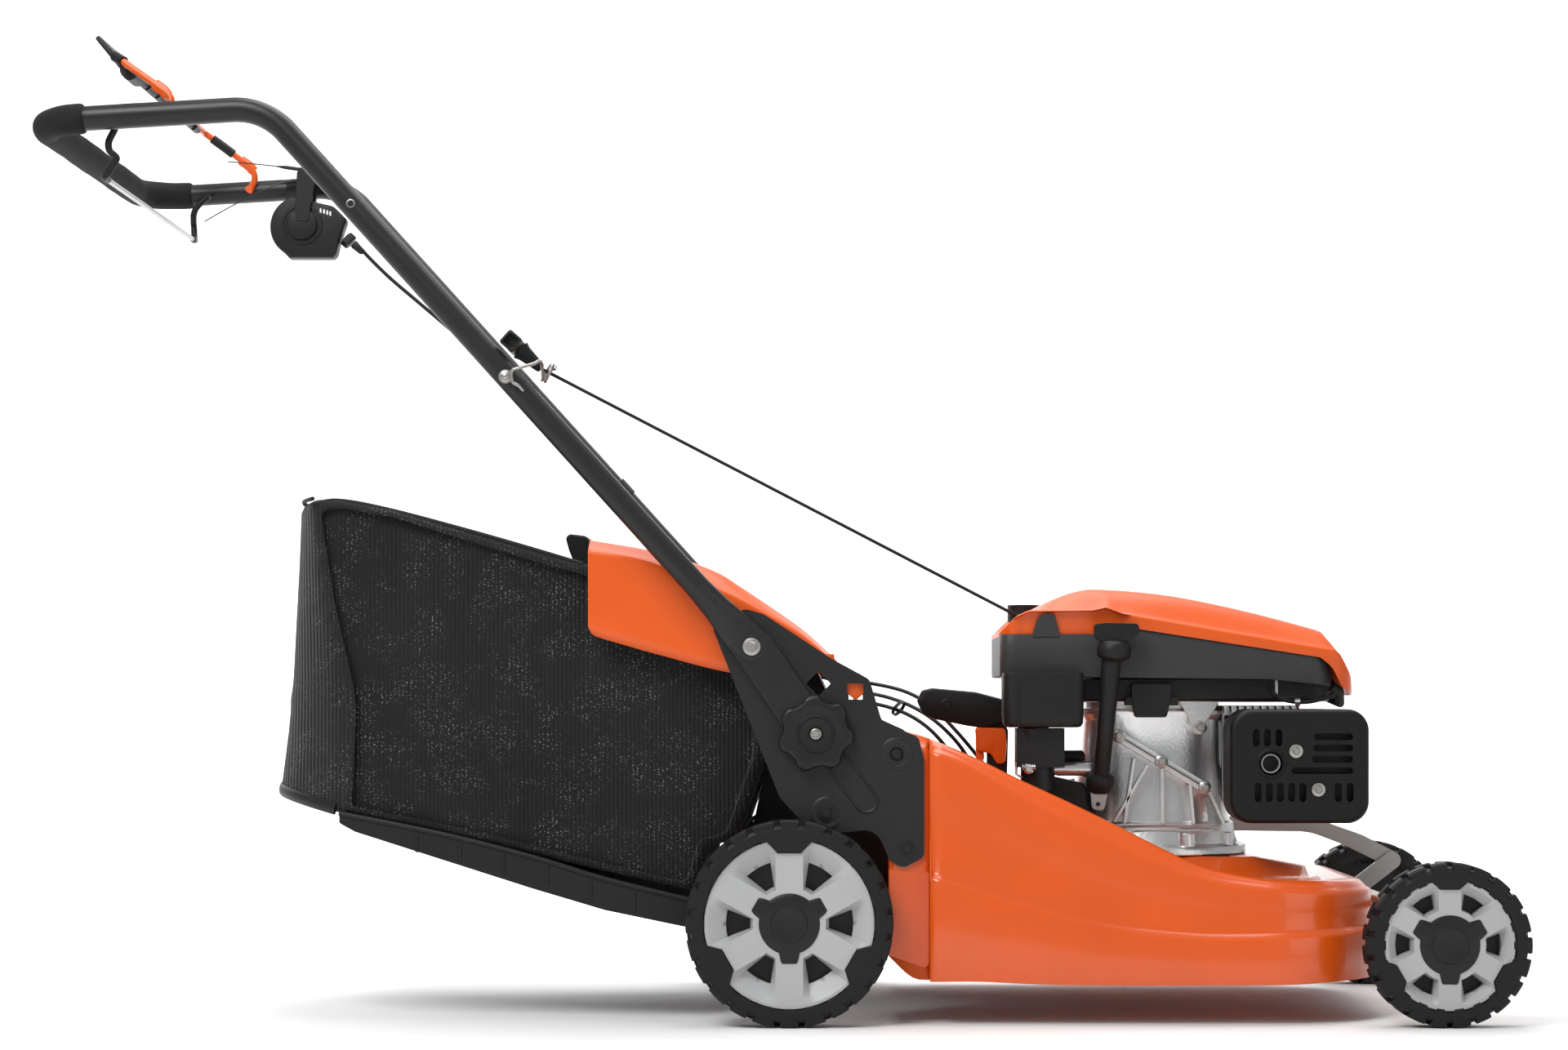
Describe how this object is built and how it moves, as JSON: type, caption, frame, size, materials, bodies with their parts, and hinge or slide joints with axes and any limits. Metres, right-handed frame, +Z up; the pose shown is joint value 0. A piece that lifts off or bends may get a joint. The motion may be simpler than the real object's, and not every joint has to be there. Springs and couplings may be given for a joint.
{
  "type": "lawn mower",
  "caption": "Petrol walk-behind lawn mower: pressed deck, vertical-shaft engine, rear grass bag, folding tube handle with bails and wheels on height-adjusting axles.",
  "frame": {"origin": "on the ground, below the middle of the whole length and width", "axes": "+X forward, +Y to the mower's left, +Z up"},
  "size_m": [1.701, 0.5788, 1.1373],
  "materials": {
    "orange_paint": "glossy powder coat, bright orange",
    "orange_plastic": "moulded orange plastic, satin gloss",
    "black_plastic": "textured black moulded plastic",
    "band_plastic": "dark grey moulded plastic, fine texture",
    "dark_paint": "black painted steel",
    "bracket_paint": "dark grey satin powder coat",
    "handle_paint": "dark grey semi-gloss powder coat",
    "guard_paint": "black heat-proof paint",
    "zinc": "bright zinc plate",
    "bail_wire": "plated wire, black sleeved at the arms",
    "steel": "machined steel",
    "cast_aluminium": "rough die-cast aluminium",
    "belt_rubber": "reinforced drive belt",
    "foam": "soft foam sleeve",
    "bag_fabric": "ribbed open mesh",
    "tyre": "moulded tread",
    "rim_plastic": "light grey moulded plastic",
    "rope": "braided cord",
    "cable_jacket": "smooth cable jacket"
  },
  "bodies": {
    "chassis": {"deck_shell": "orange_paint", "discharge_chute": "black_plastic", "bracket_right": "bracket_paint", "bracket_left": "bracket_paint", "flange_bolts": "zinc", "gearbox": "cast_aluminium", "drive_belt": "belt_rubber", "belt_guard": "black_plastic", "engine_block": "cast_aluminium", "fan_housing": "band_plastic", "top_cover": "orange_plastic", "fuel_tank": "black_plastic", "air_filter_box": "black_plastic", "carburettor": "dark_paint", "oil_filler_tube": "black_plastic", "muffler": "steel", "muffler_guard": "guard_paint", "spark_plug": "black_plastic", "starter_rope": "rope", "speed_cable": "cable_jacket", "drive_cable": "cable_jacket", "brake_cable": "cable_jacket"},
    "handle": {"handle_tube": "handle_paint", "foam_grip": "foam", "control_housing": "black_plastic", "rope_guide": "zinc"},
    "drive_bail": {"drive_bail": "orange_plastic", "bail_paddle": "black_plastic"},
    "brake_bail": {"brake_bail": "bail_wire"},
    "speed_lever": {"speed_lever": "black_plastic"},
    "starter_grip": {"starter_grip": "black_plastic"},
    "knob_right": {"knob_right": "black_plastic"},
    "knob_left": {"knob_left": "black_plastic"},
    "front_axle": {"front_axle": "zinc"},
    "rear_axle": {"rear_axle": "dark_paint"},
    "drive_shaft": {"drive_shaft": "steel"},
    "drive_pulley": {"drive_pulley": "steel"},
    "height_lever": {"height_lever": "black_plastic"},
    "height_trigger": {"height_trigger": "orange_plastic"},
    "front_link": {"front_link": "zinc"},
    "rear_link": {"rear_link": "zinc"},
    "flap": {"flap": "orange_plastic"},
    "grass_bag": {"bag_fabric": "bag_fabric", "bag_tray": "black_plastic", "bag_grip": "black_plastic"},
    "cutter": {"crankshaft": "steel", "flywheel": "cast_aluminium", "blade": "steel", "blade_adapter": "steel", "blade_bolt": "zinc"},
    "dipstick": {"dipstick": "black_plastic"},
    "fuel_cap": {"fuel_cap": "black_plastic"},
    "rear_right_wheel": {"rear_right_wheel": "rim_plastic", "rear_right_tyre": "tyre"},
    "rear_left_wheel": {"rear_left_wheel": "rim_plastic", "rear_left_tyre": "tyre"},
    "front_right_wheel": {"front_right_wheel": "rim_plastic", "front_right_tyre": "tyre"},
    "front_left_wheel": {"front_left_wheel": "rim_plastic", "front_left_tyre": "tyre"}
  },
  "joints": [
    {"name": "handle_fold", "type": "hinge", "parent": "chassis", "child": "handle", "pos_m": [-0.0269, 0, 0.4287], "axis": [0, 1, 0], "range_deg": [0, 115], "deforming": ["starter_rope", "speed_cable", "drive_cable", "brake_cable"]},
    {"name": "drive_bail_press", "type": "hinge", "parent": "handle", "child": "drive_bail", "pos_m": [-0.6945, 0, 1.03], "axis": [0, -1, 0], "range_deg": [0, 44], "stiffness_Nm_per_rad": 1.2},
    {"name": "brake_bail_press", "type": "hinge", "parent": "handle", "child": "brake_bail", "pos_m": [-0.7465, 0, 1.023], "axis": [0, 1, 0], "range_deg": [0, 62], "stiffness_Nm_per_rad": 1.2},
    {"name": "speed_lever_turn", "type": "hinge", "parent": "handle", "child": "speed_lever", "pos_m": [-0.62, 0, 0.987], "axis": [0, 1, 0], "range_deg": [-14, 30]},
    {"name": "starter_pull", "type": "slide", "parent": "handle", "child": "starter_grip", "axis": [-0.6198, 0, 0.7848], "range_m": [0, 0.5], "stiffness_N_per_m": 12, "springref_m": -0.1},
    {"name": "knob_right_turn", "type": "hinge", "parent": "handle", "child": "knob_right", "pos_m": [0.0457, -0.26, 0.33], "axis": [0, -1, 0], "continuous": true},
    {"name": "knob_left_turn", "type": "hinge", "parent": "handle", "child": "knob_left", "pos_m": [0.0457, 0.26, 0.33], "axis": [0, 1, 0], "continuous": true},
    {"name": "height_lever_turn", "type": "hinge", "parent": "chassis", "child": "height_lever", "pos_m": [0.2715, 0.13, 0.177], "axis": [0, 1, 0], "range_deg": [-18, 16]},
    {"name": "height_trigger_squeeze", "type": "slide", "parent": "height_lever", "child": "height_trigger", "axis": [0, 0, 1], "range_m": [0, 0.006], "stiffness_N_per_m": 200},
    {"name": "front_axle_turn", "type": "hinge", "parent": "chassis", "child": "front_axle", "pos_m": [0.7185, 0, 0.131], "axis": [0, 1, 0], "range_deg": [-18, 16]},
    {"name": "rear_axle_turn", "type": "hinge", "parent": "chassis", "child": "rear_axle", "pos_m": [-0.0225, 0, 0.155], "axis": [0, 1, 0], "range_deg": [-18, 16]},
    {"name": "front_link_swing", "type": "hinge", "parent": "height_lever", "child": "front_link", "pos_m": [0.3185, 0.136, 0.213], "axis": [0, 1, 0], "range_deg": [-16, 18]},
    {"name": "rear_link_swing", "type": "hinge", "parent": "height_lever", "child": "rear_link", "pos_m": [0.3185, 0.14, 0.213], "axis": [0, 1, 0], "range_deg": [-16, 18]},
    {"name": "drive_shaft_spin", "type": "hinge", "parent": "chassis", "child": "drive_shaft", "pos_m": [-0.0225, 0, 0.155], "axis": [0, 1, 0], "continuous": true},
    {"name": "drive_pulley_spin", "type": "hinge", "parent": "chassis", "child": "drive_pulley", "pos_m": [0.0045, 0, 0.119], "axis": [0, 0, 1], "continuous": true},
    {"name": "cutter_spin", "type": "hinge", "parent": "chassis", "child": "cutter", "pos_m": [0.4465, 0, 0.1], "axis": [0, 0, 1], "continuous": true},
    {"name": "flap_lift", "type": "hinge", "parent": "chassis", "child": "flap", "pos_m": [0.0625, 0, 0.404], "axis": [0, 1, 0], "range_deg": [0, 26], "stiffness_Nm_per_rad": 0.3, "springref_deg": -34.38},
    {"name": "bag_lift_off", "type": "slide", "parent": "chassis", "child": "grass_bag", "axis": [-0.96, 0, 0.28], "range_m": [0, 0.35]},
    {"name": "dipstick_pull", "type": "slide", "parent": "chassis", "child": "dipstick", "axis": [0.0689, -0.2005, 0.9773], "range_m": [0, 0.13]},
    {"name": "fuel_cap_lift", "type": "slide", "parent": "chassis", "child": "fuel_cap", "axis": [0, 0, 1], "range_m": [0, 0.03]},
    {"name": "rear_right_wheel_spin", "type": "hinge", "parent": "rear_axle", "child": "rear_right_wheel", "pos_m": [0.0165, -0.268, 0.117], "axis": [0, 1, 0], "continuous": true},
    {"name": "rear_left_wheel_spin", "type": "hinge", "parent": "rear_axle", "child": "rear_left_wheel", "pos_m": [0.0165, 0.268, 0.117], "axis": [0, 1, 0], "continuous": true},
    {"name": "front_right_wheel_spin", "type": "hinge", "parent": "front_axle", "child": "front_right_wheel", "pos_m": [0.7575, -0.268, 0.093], "axis": [0, 1, 0], "continuous": true},
    {"name": "front_left_wheel_spin", "type": "hinge", "parent": "front_axle", "child": "front_left_wheel", "pos_m": [0.7575, 0.268, 0.093], "axis": [0, 1, 0], "continuous": true}
  ],
  "couplings": [
    {"joint": "front_axle_turn", "follows": "height_lever_turn", "ratio": 1},
    {"joint": "rear_axle_turn", "follows": "height_lever_turn", "ratio": 1},
    {"joint": "front_link_swing", "follows": "height_lever_turn", "ratio": -1},
    {"joint": "rear_link_swing", "follows": "height_lever_turn", "ratio": -1},
    {"joint": "drive_pulley_spin", "follows": "cutter_spin", "ratio": 0.593}
  ]
}
